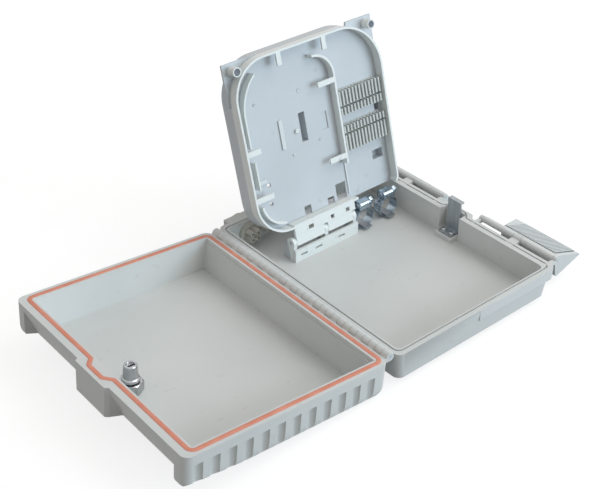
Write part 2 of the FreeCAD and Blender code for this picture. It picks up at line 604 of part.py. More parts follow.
def coverFittings():
    seal = sealRing("Gasket", d.seal_wide / 2 - d.seal_ease, 0, -1, (-d.seal_seat, d.seal_tall - d.seal_seat))
    node(seal, "gasket", coverPlace)
    centre = (-d.lock_reach, 0)
    front = -d.cover_deep
    floor = front + d.front_thick
    top = floor + d.nut_tall
    barrelTop = top + d.barrel_proud
    shank = rod("BarrelShank", "Z", d.lock_round, (front, barrelTop), centre, knobSides)
    head = rod("BarrelHead", "Z", d.lock_head, (front - d.head_thick, front), centre, knobSides)
    bore = rod("BarrelBore", "Z", d.spindle_round + d.run_gap, (-60, 0), centre)
    node(cut("BarrelCut", fuse("BarrelSolid", [shank, head]), [bore]), "lock_barrel", coverPlace)
    nut = rod("Nut", "Z", d.nut_across / 2, (floor, top), centre, 6)
    nutBore = rod("NutBore", "Z", d.lock_round + d.run_gap, (-60, 0), centre, knobSides)
    node(cut("NutCut", nut, [nutBore]), "lock_nut", coverPlace)

    knobLow = barrelTop + d.part_gap
    knob = taperedDrum("Knob", knobLow, -d.knob_top, d.knob_round, d.knob_tip)
    shaft = rod("SpindleShaft", "Z", d.spindle_round, (front + 0.4 - d.head_thick, knobLow), centre)
    tools = [rod("KnobCup", "Z", d.knob_cup, (-d.knob_top - d.cup_deep, 0), centre, knobSides),
             box("KnobSlot", (-d.lock_reach - d.knob_cup, d.knob_cup - d.lock_reach),
                 (-d.slot_wide / 2, d.slot_wide / 2), (-d.knob_top - d.slot_deep, 0)),
             box("KeySlot", (-d.lock_reach - d.key_wide / 2, d.key_wide / 2 - d.lock_reach),
                 (-5, 5), (front - 4, front - 0.4))]
    node(cut("SpindleCut", fuse("SpindleSolid", [knob, shaft]), tools), "lock_spindle", coverPlace)


def trayWalls():
    # Local frame of the tray: X as the box, Y up the tray from its hinge, Z out of its open side
    side = (-d.tray_half, d.tray_half)
    tall = (d.tray_low, d.tray_tip)
    radii = (d.turn_low, d.turn_small, d.turn_right, d.turn_left)
    skin = d.tray_skin
    outer = roundedPlate("TrayBlock", side, tall, (d.tray_back, d.tray_rim), radii)
    inside = (-d.tray_half + skin, d.tray_half - skin)
    insideTall = (d.tray_low + skin, d.tray_tip - skin)
    insideRadii = [radius - skin for radius in radii]
    front = roundedPlate("TrayFront", inside, insideTall, (d.tray_floor, d.tray_rim + 2), insideRadii)
    rear = roundedPlate("TrayRear", inside, insideTall, (d.tray_back - 2, d.tray_floor - skin), insideRadii)
    gap = box("TrayGap", (d.guide_side + 3, d.gap_right), (d.tray_low - 2, d.tray_low + skin + 0.5),
              (d.tray_floor, d.tray_rim + 2))
    return cut("TrayShell", outer, [front, rear, gap])


def trayEars():
    plate = (d.tray_floor - d.tray_skin, d.tray_floor)
    pieces = []
    for name, sign, low in (("Left", -1, d.ear_left_low), ("Right", 1, d.ear_right_low)):
        reach = d.ear_tip - low
        corner = sign * d.ear_side
        pieces.append(prism("Ear" + name, "XY", [[(corner, d.ear_tip), (corner - sign * reach, d.ear_tip),
                      (corner - sign * (reach + d.ear_step), d.ear_tip - d.ear_cut),
                      (corner - sign * d.ear_cut, low - d.ear_step), (corner, low)]], plate))
        pieces.append(rod("Post" + name, "Z", d.post_round, (d.tray_floor - 1, d.tray_rim),
                          (sign * d.post_side, d.post_high), barrelSides))
    return pieces


def arcWall(label, centre, radius, thick, zSpan, xSpan, ySpan):
    # Part of a thin ring wall: the stretch that lies within the given rectangle
    ring = cut(label + "Ring", rod(label + "Outer", "Z", radius, zSpan, centre),
               [rod(label + "Inner", "Z", radius - thick, (zSpan[0] - 1, zSpan[1] + 1), centre)])
    arc = doc.addObject("Part::MultiCommon", label)
    arc.Shapes = [ring, box(label + "Window", xSpan, ySpan, zSpan)]
    return arc


def trayGuides():
    rise = (d.tray_floor - 0.5, d.guide_top)
    side = d.guide_side
    thick = d.guide_thick
    turnX = side - d.guide_turn
    lowTurn = d.turn_low - d.tray_skin - 5
    lowX = d.turn_low - d.tray_half
    lowY = d.tray_low + d.turn_low
    sweepSide = d.sweep_side - d.sweep_round
    low = (d.tray_floor - 0.5, d.tray_floor + d.lip_tall)
    pieces = [arcWall("GuideArc", (turnX, d.guide_high), d.guide_turn, thick, rise,
                      (turnX, side + 1), (d.guide_high, d.guide_high + d.guide_turn + 1)),
              arcWall("LowArc", (lowX, lowY), lowTurn, thick, rise,
                      (lowX - lowTurn - 1, lowX - 3), (lowY - lowTurn - 1, lowY - 3)),
              arcWall("SweepArc", (d.sweep_side, d.sweep_high), d.sweep_round, d.sweep_thick, rise,
                      (sweepSide - 1, sweepSide + 18), (d.sweep_high, d.sweep_high + d.sweep_round)),
              box("GuideWall", (side - thick, side), (d.guide_low, d.guide_high), rise),
              box("GuideLip", (side - 0.4, side + 1.2), (d.lip_low, d.guide_low), low),
              box("SweepWall", (sweepSide, sweepSide + d.sweep_thick), (101, d.sweep_high), rise),
              box("LeftGuide", (sweepSide + 1.6, sweepSide + 3.2), (61, 87), rise),
              box("RibLeft", (-38.5, -34.5), (86, 113.5), low),
              box("RibSmall", (-70, -62), (63, 66.5), low)]
    wall = d.tray_half - 1
    tabs = [((-34.5, -29.5), (164, d.tray_tip - 1)), ((17, 22), (164, d.tray_tip - 1)),
            ((-wall, -68), (94.5, 99.5)), ((-wall, -63), (50.5, 55.5))]
    for k, (xSpan, ySpan) in enumerate(tabs):
        pieces.append(box("RimTab{}".format(k), xSpan, ySpan, (d.tray_rim - d.tab_thick, d.tray_rim)))
    for k, near in enumerate((57.5, 131)):
        pieces.append(box("GuideTab{}".format(k), (7, side - 1), (near, near + d.tab_wide),
                          (d.guide_top - d.tab_thick, d.guide_top)))
    for k, (xSpan, ySpan) in enumerate(blindSlots):
        pieces.append(box("Stud{}".format(k), (xSpan[0] - d.tray_skin, xSpan[1] + d.tray_skin),
                          (ySpan[0] - d.tray_skin, ySpan[1] + d.tray_skin),
                          (d.tray_floor - d.stud_deep - d.tray_skin, d.tray_floor - 1)))
    return pieces


def trayHinge():
    lower = d.tray_rim - d.strip_thick
    width = (d.strip_left, d.bracket_right)
    root = d.tray_low + 3
    pieces = [box("Strip", width, (d.strip_low, root), (lower, d.tray_rim)),
              box("StripWeb", width, (d.tray_low - 2, root), (d.tray_floor - d.tray_skin, lower + 1))]
    cheeks = cheekSpans()
    for k in range(2):
        span = (cheeks[k][1] + d.part_gap, cheeks[k + 1][0] - d.part_gap)
        pieces.append(rod("TrayBarrel{}".format(k), "X", d.tray_barrel, span, (0, 0), barrelSides))
        pieces.append(box("TrayTab{}".format(k), span, (-3.4, 8), (lower - 1, d.tray_rim - 0.3)))
    return pieces


# Blind slots of the tray floor, each in a hollow stud on the rear side
blindSlots = [((-15, -8), (85.5, 113)), ((63.5, 76.5), (41, 50)), ((74.5, 80), (87.5, 94))]


def spliceTray():
    solid = fuse("TraySolid", [trayWalls()] + trayEars() + trayGuides() + trayHinge())
    above = d.tray_floor + 0.4
    through = (d.tray_floor - 4, above)
    slots = [((-26, -18), (16.5, 25.5)), ((2, 10), (16.5, 23.5)), ((13.5, 25.5), (17, 33)),
             ((-62, -58), (58, 61)), ((-63, -59), (40, 43))]
    tools = [box("FloorSlot{}".format(k), xSpan, ySpan, through) for k, (xSpan, ySpan) in enumerate(slots)]
    for k, (xSpan, ySpan) in enumerate(blindSlots):
        tools.append(box("BlindSlot{}".format(k), xSpan, ySpan, (d.tray_floor - d.stud_deep, above)))
    tools.append(box("ShallowSlot", (10, 17), (89, 105.5), (d.tray_floor - 1, above)))
    for k, xSpan in enumerate(((-5, -1), (13.5, 18), (-32, -26))):
        tools.append(box("StripSlot{}".format(k), xSpan, (7.5, 11.5), (-3, d.tray_rim + 1)))
    tools.append(rod("TrayBore", "X", d.tray_pin + d.run_gap, (-60, 40), (0, 0), boreSides))
    posts = [(-d.post_side, d.post_high), (d.post_side, d.post_high)]
    low = d.tray_rim - d.buffer_thick
    radius = d.buffer_round - d.run_gap
    discs = []
    for k, spot in enumerate(posts):
        seat = (low, d.tray_rim + 1)
        tools.append(rod("BufferSeat{}".format(k), "Z", d.buffer_round, seat, spot, barrelSides))
        discs.append(rod("Buffer{}".format(k), "Z", radius, (low, d.tray_rim), spot, barrelSides))
    node(cut("TrayCut", solid, tools), "splice_tray", trayPlace)
    node(fuse("BufferPair", discs), "tray_buffers", trayPlace)


def spliceHolder(label, low, high, split):
    # Twelve slots between thirteen fins; a long and a short row stand on one plate
    body = newBody(label + "Body")
    outline = rectangle((d.comb_left, d.comb_right), (low, high))
    plate = sketch(body, label + "Plate", "XY", d.tray_floor, [outline])
    pad(body, plate, d.comb_plate)
    first = d.comb_left + 0.3
    fins = sketch(body, label + "Fins", "XY", d.tray_floor + d.comb_plate - 0.2,
                  [rectangle((first, first + d.comb_fin), (low + 0.5, split - 1)),
                   rectangle((first, first + d.comb_fin), (split + 1, high - 0.5))])
    finPad = pad(body, fins, d.comb_tall - d.comb_plate + 0.2)
    doc.recompute()
    row = body.newObject("PartDesign::LinearPattern", label + "Row")
    row.Originals = [finPad]
    row.Direction = (fins, ["H_Axis"])
    bind(row, "Length", d.comb_pitch * 12)
    row.Occurrences = 13
    body.Tip = row
    node(body, label, trayPlace)


def latch(name, sign, slope):
    # Wedge section: ribbed top face, thick root under the hinge, thin free edge
    lugs, barrels = latchSpans(sign)
    long = d.latch_long
    deep = d.latch_deep
    section = [(0, 2.4), (long, 1), (long + 0.6, -0.6), (14.5, -deep), (12, -deep), (3.2, -3.2), (0, -2.4)]
    span = (d.latch_inner, d.latch_outer) if sign > 0 else (-d.latch_outer, -d.latch_inner)
    body = prism("Wedge" + name, "XZ", [section], span)
    lowest = span[0] + 6 if sign < 0 else span[0] + 14
    ribs = sketch(body, "Rib" + name, "XZ", -(lowest + d.rib_wide), [[
        (7, 1.6), (long - 2, 0.6), (long - 2, 1.07 + d.rib_tall), (7, 2.14 + d.rib_tall)]])
    ribPad = pad(body, ribs, d.rib_wide)
    doc.recompute()
    row = body.newObject("PartDesign::LinearPattern", "RibRow" + name)
    row.Originals = [ribPad]
    row.Direction = (ribs, ["N_Axis"])
    row.Reversed = True
    bind(row, "Length", d.rib_pitch * 17)
    row.Occurrences = 18
    body.Tip = row
    tools = []
    for k, (low, high) in enumerate(lugs):
        tools.append(rod("LugRoom{}{}".format(name, k), "Y", d.latch_barrel + 0.8,
                         (low - d.part_gap, high + d.part_gap), (0, 0), barrelSides))
    inner = sign * d.latch_inner
    tools.append(prism("Slant" + name, "XY", [[
        (4.2, inner - sign * 2), (4.2, inner + sign * d.slant_wide),
        (long + 3, inner + sign * d.slant_narrow), (long + 3, inner - sign * 2)]], (-30, 10)))
    pieces = [cut("Trimmed" + name, body, tools)]
    for k, barrel in enumerate(barrels):
        pieces.append(rod("Barrel{}{}".format(name, k), "Y", d.latch_barrel, barrel, (0, 0), barrelSides))
    bore = rod("LatchHole" + name, "Y", holeRound, (-130, 130), (0, 0), boreSides)
    axis = Vector(d.latch_reach.value, 0, d.latch_high.value)
    place = Placement(axis, Rotation(Vector(0, 1, 0), slope.value))
    node(cut("LatchCut" + name, fuse("LatchSolid" + name, pieces), [bore]), "latch_" + name.lower(), place)


baseShell()
pins()
trayBracket()
lockCatch()
clampPlate()
hoseClamp("Inner", d.clamp_inner)
hoseClamp("Outer", d.clamp_outer)
diagonal = d.drop_circle * math.sqrt(0.5)
dropHoles = [(dx * diagonal, dz * diagonal, d.drop_hole) for dx in (-1, 1) for dz in (-1, 1)]
grommet("drop_grommet", d.drop_port, d.drop_round, dropHoles, boreSides)
grommet("small_grommet", d.small_port, d.small_round, [(0, 0, d.drop_hole)], boreSides)
grommet("feeder_grommet_inner", d.clamp_inner, d.feeder_round, [(0, 0, d.cable_round)], 0)
grommet("feeder_grommet_outer", d.clamp_outer, d.feeder_round, [(0, 0, d.cable_round)], 0)
coverShell()
coverFittings()
spliceTray()
spliceHolder("splice_holder_upper", d.upper_low, d.upper_high, d.upper_split)
spliceHolder("splice_holder_lower", d.lower_low, d.lower_high, d.lower_split)
latch("Near", -1, d.near_slope)
latch("Far", 1, d.far_slope)

doc.recompute()
for item in doc.Objects:
    if "Invalid" in item.State or "Error" in item.State:
        raise RuntimeError("{} failed: {}".format(item.Label, item.State))
os.makedirs("parts", exist_ok=True)
for item in nodes:
    if item.Shape.isNull() or not item.Shape.isValid():
        raise RuntimeError("{} has no valid shape".format(item.Label))
    item.Shape.exportStep("parts/{}.step".format(item.Label))
    span = item.Shape.BoundBox
    print("{:24s} {} solid(s) {:9.0f} mm3  X {:.1f}..{:.1f}  Y {:.1f}..{:.1f}  Z {:.1f}..{:.1f}".format(
        item.Label, len(item.Shape.Solids), item.Shape.Volume, span.XMin, span.XMax, span.YMin, span.YMax,
        span.ZMin, span.ZMax))
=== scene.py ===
import json
import math

import bmesh
import bpy
import numpy as np
from mathutils import Matrix, Vector


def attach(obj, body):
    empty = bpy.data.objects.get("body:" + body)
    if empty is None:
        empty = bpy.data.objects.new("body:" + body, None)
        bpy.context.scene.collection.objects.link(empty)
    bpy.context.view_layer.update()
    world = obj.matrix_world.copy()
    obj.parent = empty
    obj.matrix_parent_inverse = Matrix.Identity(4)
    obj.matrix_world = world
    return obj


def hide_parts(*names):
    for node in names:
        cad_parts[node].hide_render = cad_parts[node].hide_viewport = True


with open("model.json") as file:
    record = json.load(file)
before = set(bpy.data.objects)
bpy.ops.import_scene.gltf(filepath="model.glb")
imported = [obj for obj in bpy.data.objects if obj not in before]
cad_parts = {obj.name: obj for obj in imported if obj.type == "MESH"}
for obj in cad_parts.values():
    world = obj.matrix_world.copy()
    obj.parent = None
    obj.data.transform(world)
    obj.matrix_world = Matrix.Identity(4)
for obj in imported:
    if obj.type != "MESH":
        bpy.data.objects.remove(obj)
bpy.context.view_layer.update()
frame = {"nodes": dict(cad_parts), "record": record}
nodes = frame["nodes"]
scene = bpy.context.scene
mm = 0.001  # the pieces' dictionaries hold millimetres; finishes, camera, lamps and floor are in metres
print("frame loaded:", len(nodes), "nodes")

noiseSpan = (0.3, 0.7)  # most of a noise's values lie between these
markSpan = (0.66, 0.80)  # its few peaks, for sparse marks
grooveBlur = (0.6, 1.4)  # a latch groove's side, in shares of the groove's half width


def linear(rgb):
    # sRGB values of 0 to 255 to linear light
    c = np.asarray(rgb, float) / 255
    c = np.where(c <= 0.04045, c / 12.92, ((c + 0.055) / 1.055) ** 2.4)
    return (*c.tolist(), 1.0)


def link(tree, a, aName, b, bName):
    tree.links.new(a.outputs[aName], b.inputs[bName])


def noiseNode(tree, coords, size, detail=3.0, stretch=(1, 1, 1)):
    # noise whose lumps are about size metres across
    mapping = tree.nodes.new("ShaderNodeMapping")
    mapping.inputs["Scale"].default_value = stretch
    noise = tree.nodes.new("ShaderNodeTexNoise")
    noise.inputs["Scale"].default_value = 1 / size
    noise.inputs["Detail"].default_value = detail
    link(tree, coords, "Object", mapping, "Vector")
    link(tree, mapping, "Vector", noise, "Vector")
    return noise


def rampNode(tree, noise, span, colours):
    # the first colour up to the span's start, then a fade to the second at its end
    ramp = tree.nodes.new("ShaderNodeValToRGB")
    for element, place, colour in zip(ramp.color_ramp.elements, span, colours):
        element.position = place
        element.color = colour
    link(tree, noise, "Fac", ramp, "Fac")
    return ramp.outputs["Color"]


def rangeNode(tree, source, span, result=(0, 1)):
    # the span of the source's values stretched to the result
    node = tree.nodes.new("ShaderNodeMapRange")
    for socket, number in zip(("From Min", "From Max", "To Min", "To Max"), (*span, *result)):
        node.inputs[socket].default_value = number
    tree.links.new(source, node.inputs["Value"])
    return node.outputs["Result"]


def mixTones(tree, factor, first, second):
    # a tone is a node's output or plain sRGB numbers
    mix = tree.nodes.new("ShaderNodeMix")
    mix.data_type = "RGBA"
    tree.links.new(factor, mix.inputs["Factor"])
    for socket, tone in (("A", first), ("B", second)):
        if isinstance(tone, bpy.types.NodeSocket):
            tree.links.new(tone, mix.inputs[socket])
        else:
            mix.inputs[socket].default_value = linear(tone)
    return mix.outputs["Result"]


def bumpNode(tree, shader, noise, depth, strength, edge=0):
    # edge rounds the look of sharp corners by that many metres
    bump = tree.nodes.new("ShaderNodeBump")
    if edge:
        soft = tree.nodes.new("ShaderNodeBevel")
        soft.samples = 4
        soft.inputs["Radius"].default_value = edge
        link(tree, soft, "Normal", bump, "Normal")
    bump.inputs["Strength"].default_value = strength
    bump.inputs["Distance"].default_value = depth
    link(tree, noise, "Fac", bump, "Height")
    link(tree, bump, "Normal", shader, "Normal")


def newMaterial(name, **sockets):
    material = bpy.data.materials.new(name)
    material.use_nodes = True
    tree = material.node_tree
    shader = tree.nodes["Principled BSDF"]
    for socket, value in sockets.items():
        shader.inputs[socket.replace("_", " ")].default_value = value
    return material, tree, shader, tree.nodes.new("ShaderNodeTexCoord")


def paintedDepthShade(tree, coords, tone, settings):
    # painted shade: the tone gives way to the lighter raised tone as a place rises along the axis from low to
    # high
    rise = tree.nodes.new("ShaderNodeVectorMath")
    rise.operation = "DOT_PRODUCT"
    rise.inputs[1].default_value = settings["axis"]
    link(tree, coords, "Object", rise, 0)
    fade = rangeNode(tree, rise.outputs["Value"], (settings["low"], settings["high"]))
    return mixTones(tree, fade, tone, settings["raised"])


def paintedGrooveShade(tree, coords, tone, settings):
    # painted shade darkens the grooves, which repeat at every pitch of the distance from the middle plane
    parts = tree.nodes.new("ShaderNodeSeparateXYZ")
    link(tree, coords, "Object", parts, "Vector")
    value = parts.outputs["Y"]
    steps = [("ABSOLUTE", 0), ("SUBTRACT", settings["crest"] * mm), ("DIVIDE", settings["pitch"] * mm),
             ("FRACT", 0), ("SUBTRACT", 0.5), ("ABSOLUTE", 0)]
    for operation, number in steps:
        step = tree.nodes.new("ShaderNodeMath")
        step.operation = operation
        step.inputs[1].default_value = number
        tree.links.new(value, step.inputs[0])
        value = step.outputs["Value"]
    fade = rangeNode(tree, value, [settings["groove"] * share for share in grooveBlur])
    return mixTones(tree, fade, settings["grooveShade"], tone)


def twoTones(tree, shader, noise, settings):
    # the noise shifts the roughness and gives a tone between dark and light
    rough = rangeNode(tree, noise.outputs["Fac"], noiseSpan, settings["rough"])
    tree.links.new(rough, shader.inputs["Roughness"])
    return rampNode(tree, noise, noiseSpan, (linear(settings["dark"]), linear(settings["light"])))


def mouldedPlastic(name, settings):
    # two close tones in soft clouds, sparse handling marks, and a fine eroded grain
    material, tree, shader, coords = newMaterial(name, Specular_IOR_Level=settings["shine"])
    clouds = noiseNode(tree, coords, settings["cloud"], detail=4)
    tone = twoTones(tree, shader, clouds, settings)
    # painted shade: a recessed floor darker than the raised walls
    if "fade" in settings:
        tone = paintedDepthShade(tree, coords, tone, settings["fade"])
    # painted shade darkens the grooves
    if "lines" in settings:
        tone = paintedGrooveShade(tree, coords, tone, settings["lines"])
    marks = noiseNode(tree, coords, settings["mark"], 6, settings.get("markStretch", (1, 1, 1)))
    spots = rampNode(tree, marks, markSpan, ((0, 0, 0, 1), (1, 1, 1, 1)))
    grooveShade = mixTones(tree, spots, tone, settings["soil"])
    tree.links.new(grooveShade, shader.inputs["Base Color"])
    grain = noiseNode(tree, coords, settings["grain"], detail=2)
    bumpNode(tree, shader, grain, settings["grainDeep"], strength=0.35, edge=settings.get("edge", 0))
    return material


def metalFinish(name, settings):
    # plated steel: streaks along one direction shift colour and roughness
    material, tree, shader, coords = newMaterial(name, Metallic=1.0)
    streaks = noiseNode(tree, coords, settings["streak"], 3, settings["stretch"])
    tone = twoTones(tree, shader, streaks, settings)
    tree.links.new(tone, shader.inputs["Base Color"])
    bumpNode(tree, shader, streaks, settings["deep"], strength=0.3)
    return material


joints = {joint["name"]: joint for joint in frame["record"]["behaviour"]["joints"]}
coverUp = np.array(joints["lock_turn"]["axis"], float)
coverUp = coverUp / np.linalg.norm(coverUp) * np.sign(coverUp[2])
coverHinge = np.array(joints["cover_hinge"]["pos_m"]) / mm
trayHinge = np.array(joints["tray_hinge"]["pos_m"]) / mm
trayLean = math.radians(joints["tray_hinge"]["range_deg"][1] - 90)  # folded, the tray lies flat
trayOut = np.array([0, -math.cos(trayLean), math.sin(trayLean)])

trayLevel = trayOut @ trayHinge  # the floor of the tray, 5 mm behind this, is painted a shade darker than its walls, as painted shade in the recess
trayPaintedShade = {"axis": trayOut, "low": (trayLevel - 4.8) * mm, "high": (trayLevel - 3) * mm,
            "raised": (221, 225, 223)}
shellTones = {"dark": (201, 203, 201), "light": (209, 210, 208), "soil": (189, 189, 186),
              "cloud": 0.09, "mark": 0.012, "markStretch": (1, 2.5, 1), "rough": (0.44, 0.56), "shine": 0.4,
              "grain": 0.0007, "grainDeep": 0.00008}
finishes = {
    "shell_plastic": mouldedPlastic("shellPlastic", {**shellTones, "edge": 0.0002}),
    "tray_plastic": mouldedPlastic("trayPlastic", {
        "dark": (186, 192, 196), "light": (194, 199, 203), "soil": (176, 181, 185),
        "cloud": 0.05, "mark": 0.008, "rough": (0.34, 0.46), "shine": 0.5,
        "grain": 0.0005, "grainDeep": 0.00005, "edge": 0.0003, "fade": trayPaintedShade}),
    "holder_plastic": mouldedPlastic("holderPlastic", {
        "dark": (182, 186, 183), "light": (192, 195, 192), "soil": (168, 170, 167),
        "cloud": 0.03, "mark": 0.006, "rough": (0.4, 0.5), "shine": 0.5,
        "grain": 0.0005, "grainDeep": 0.00005}),
    "seal_rubber": mouldedPlastic("sealRubber", {
        "dark": (207, 131, 109), "light": (217, 147, 126), "soil": (197, 121, 101),
        "cloud": 0.012, "mark": 0.005, "rough": (0.6, 0.75), "shine": 0.3,
        "grain": 0.0006, "grainDeep": 0.0001}),
    "grommet_rubber": mouldedPlastic("grommetRubber", {
        "dark": (184, 180, 170), "light": (197, 193, 183), "soil": (166, 162, 152),
        "cloud": 0.008, "mark": 0.003, "rough": (0.55, 0.7), "shine": 0.3,
        "grain": 0.0006, "grainDeep": 0.0001}),
    "dark_rubber": mouldedPlastic("bufferRubber", {
        "dark": (92, 98, 106), "light": (108, 114, 122), "soil": (80, 85, 92),
        "cloud": 0.003, "mark": 0.002, "rough": (0.4, 0.55), "shine": 0.4,
        "grain": 0.0004, "grainDeep": 0.00005}),
    "catch_steel": metalFinish("catchSteel", {
        "dark": (160, 165, 170), "light": (181, 186, 190), "streak": 0.004, "stretch": (1, 1, 0.12),
        "rough": (0.38, 0.5), "deep": 0.00003}),
    "zinc_steel": metalFinish("zincSteel", {
        "dark": (158, 174, 188), "light": (192, 206, 216), "streak": 0.003, "stretch": (1, 0.2, 1),
        "rough": (0.22, 0.34), "deep": 0.00003}),
    "bright_metal": metalFinish("brightMetal", {
        "dark": (168, 170, 172), "light": (192, 193, 194), "streak": 0.002, "stretch": (1, 1, 0.3),
        "rough": (0.12, 0.22), "deep": 0.00002}),
}
slotOf = {part["node"]: part["material_slot"] for part in frame["record"]["subparts"]}
for node, slot in slotOf.items():
    mesh = nodes[node].data
    mesh.materials.clear()
    mesh.materials.append(finishes[slot])
print("finishes set on the CAD nodes")


def smoothTree(angle):
    # shades smooth all but the edges sharper than the angle
    tree = bpy.data.node_groups.new("jointShading", "GeometryNodeTree")
    tree.interface.new_socket("Geometry", in_out="INPUT", socket_type="NodeSocketGeometry")
    tree.interface.new_socket("Geometry", in_out="OUTPUT", socket_type="NodeSocketGeometry")
    start = tree.nodes.new("NodeGroupInput")
    end = tree.nodes.new("NodeGroupOutput")
    faces = tree.nodes.new("GeometryNodeSetShadeSmooth")
    edges = tree.nodes.new("GeometryNodeSetShadeSmooth")
    edges.domain = "EDGE"
    edges.inputs["Shade Smooth"].default_value = False
    bend = tree.nodes.new("GeometryNodeInputMeshEdgeAngle")
    sharp = tree.nodes.new("FunctionNodeCompare")
    sharp.operation = "GREATER_THAN"
    sharp.inputs["B"].default_value = angle
    link(tree, bend, "Unsigned Angle", sharp, "A")
    link(tree, sharp, "Result", edges, "Selection")
    link(tree, start, "Geometry", faces, "Geometry")
    link(tree, faces, "Geometry", edges, "Geometry")
    link(tree, edges, "Geometry", end, "Geometry")
    return tree


shading = {"angle": math.radians(40), "weld": 2e-6}
shadeTree = smoothTree(shading["angle"])
for item in nodes.values():
    weld = item.modifiers.new("weld", "WELD")  # joins the node's loose triangles
    weld.merge_threshold = shading["weld"]
    smooth = item.modifiers.new("smooth", "NODES")
    smooth.node_group = shadeTree
print("facets welded and shaded smooth")


def coverToBox(points):
    # cover frame (out from the hinge, across, up from the rim) to the box frame
    out = np.array([-coverUp[2], 0, coverUp[0]])
    across = np.array([0, 1, 0])
    return coverHinge + points[..., :1] * out + points[..., 1:2] * across + points[..., 2:] * coverUp


def trayToBox(points):
    # tray frame (across, up the tray, out of its open side) to the box frame
    along = np.array([0, math.sin(trayLean), math.cos(trayLean)])
    across = np.array([1, 0, 0])
    return trayHinge + points[..., :1] * across + points[..., 1:2] * along + points[..., 2:] * trayOut


def gridFaces(shape, start, closeRows, closeColumns):
    # four corners of each cell of a grid; a closed direction wraps round to its start
    index = np.arange(shape[0] * shape[1]).reshape(shape[:2]) + start
    if closeRows:
        index = np.vstack([index, index[:1]])
    if closeColumns:
        index = np.hstack([index, index[:, :1]])
    return np.stack([index[:-1, :-1], index[1:, :-1], index[1:, 1:], index[:-1, 1:]], -1).reshape(-1, 4)


def addPiece(name, grids, body, slot, replaced=(), angle=38, finish=None):
    # grids holds (points, closeRows, closeColumns); poles merge, normals turn outward,
    # and edges that bend by more than the angle stay sharp
    points = np.concatenate([grid.reshape(-1, 3) for grid, rows, columns in grids]) * mm
    faces = []
    start = 0
    for grid, rows, columns in grids:
        faces.append(gridFaces(grid.shape, start, rows, columns))
        start += grid.shape[0] * grid.shape[1]
    mesh = bpy.data.meshes.new(name)
    mesh.from_pydata(points.tolist(), [], np.concatenate(faces).tolist())
    work = bmesh.new()
    work.from_mesh(mesh)
    bmesh.ops.remove_doubles(work, verts=work.verts, dist=1e-6)
    bmesh.ops.recalc_face_normals(work, faces=work.faces)
    work.to_mesh(mesh)
    work.free()
    mesh.shade_smooth()
    mesh.set_sharp_from_angle(angle=math.radians(angle))
    mesh.materials.append(finish or finishes[slot])
    obj = bpy.data.objects.new(name, mesh)
    scene.collection.objects.link(obj)
    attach(obj, body)
    if replaced:
        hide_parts(*replaced)


def roundedLoop(corners, radii, steps):
    # each corner becomes an arc that touches both its sides; gives places and outward normals
    corner = np.asarray(corners, float)
    radius = np.asarray(radii, float)[:, None]
    inward = corner - np.roll(corner, 1, 0)
    inward /= np.linalg.norm(inward, axis=1, keepdims=True)
    onward = np.roll(inward, -1, 0)
    crossed = inward[:, 0] * onward[:, 1] - inward[:, 1] * onward[:, 0]
    turn = np.arctan2(crossed, (inward * onward).sum(1))[:, None]
    first = corner - inward * radius * np.tan(np.abs(turn) / 2)
    side = np.stack([-inward[:, 1], inward[:, 0]], 1) * np.sign(turn)
    centre = first + side * radius
    angle = turn * np.linspace(0, 1, steps)
    arm = (first - centre)[:, None, :]
    c = np.cos(angle)[..., None]
    s = np.sin(angle)[..., None]

    def turned(v):
        return np.concatenate([v[..., :1] * c - v[..., 1:] * s, v[..., :1] * s + v[..., 1:] * c], -1)

    heading = turned(np.broadcast_to(inward[:, None, :], (*angle.shape, 2)))
    place = centre[:, None, :] + turned(np.broadcast_to(arm, (*angle.shape, 2)))
    normal = np.stack([heading[..., 1], -heading[..., 0]], -1)
    return place.reshape(-1, 2), normal.reshape(-1, 2)


def fullTurn(count):
    # equal steps of angle all the way round, without the last one that meets the first
    return np.linspace(0, 2 * math.pi, count, endpoint=False)


def spun(profile, count, bend=None):
    # profile rows of (radius, height) carried round the Z axis; bend(radius, height, angle) gives new heights
    rows = np.asarray(profile, float)
    angle = fullTurn(count)[None, :]
    radius = np.repeat(rows[:, :1], count, 1)
    height = np.repeat(rows[:, 1:], count, 1)
    if bend:
        height = bend(radius, height, angle)
    return np.stack([radius * np.cos(angle), radius * np.sin(angle), height], -1)


def softStep(edge, blur, value):
    # rises from 0 to 1 in an S as the value goes from the edge times blur's first number to its second
    low, high = edge * blur[0], edge * blur[1]
    t = np.clip((value - low) / (high - low), 0, 1)
    return t * t * (3 - 2 * t)


def hexRadius(flat, angle):
    # distance from a hexagon's middle to its side: that to a flat, over the cosine of the turn from it
    return flat / np.cos((angle + math.pi / 6) % (math.pi / 3) - math.pi / 6)


def fineRows(profile, step):
    # the profile's straight runs cut into rows no longer than the step
    rows = np.asarray(profile, float)
    runs = []
    for a, b in zip(rows[:-1], rows[1:]):
        count = max(1, int(math.ceil(np.linalg.norm(b - a) / step)))
        runs.append(a + (b - a) * np.linspace(0, 1, count, endpoint=False)[:, None])
    return np.concatenate(runs + [rows[-1:]])


def gasketBead(settings):
    # a rounded bead carried along the seal line: half an ellipse whose lips lie on the rim,
    # on a foot in the groove
    far, jog = settings["half"], settings["jogOut"]
    low, high = settings["hinge"], settings["lock"]
    wide, narrow = settings["jogWide"], settings["jogNarrow"]
    corners = [(low, -far), (high, -far), (high, -wide), (jog, -narrow), (jog, narrow), (high, wide),
               (high, far), (low, far)]
    turns = [settings["turn"]] * 2 + [settings["jogTurn"]] * 4 + [settings["turn"]] * 2
    place, normal = roundedLoop(corners, turns, settings["cornerSteps"])
    t = np.linspace(0, math.pi, settings["crownSteps"])
    foot, seat = settings["wide"] / 2, settings["seat"]
    across = np.append(-np.cos(t) * settings["lip"] / 2, [foot, foot, -foot, -foot])
    rise = np.append(settings["shoulder"] + settings["crown"] * np.sin(t), [0, -seat, -seat, 0])
    offset = place[:, None, :] + across[None, :, None] * normal[:, None, :]
    grid = np.concatenate([offset, np.broadcast_to(rise[None, :, None], (*offset.shape[:2], 1))], -1)
    return coverToBox(grid)


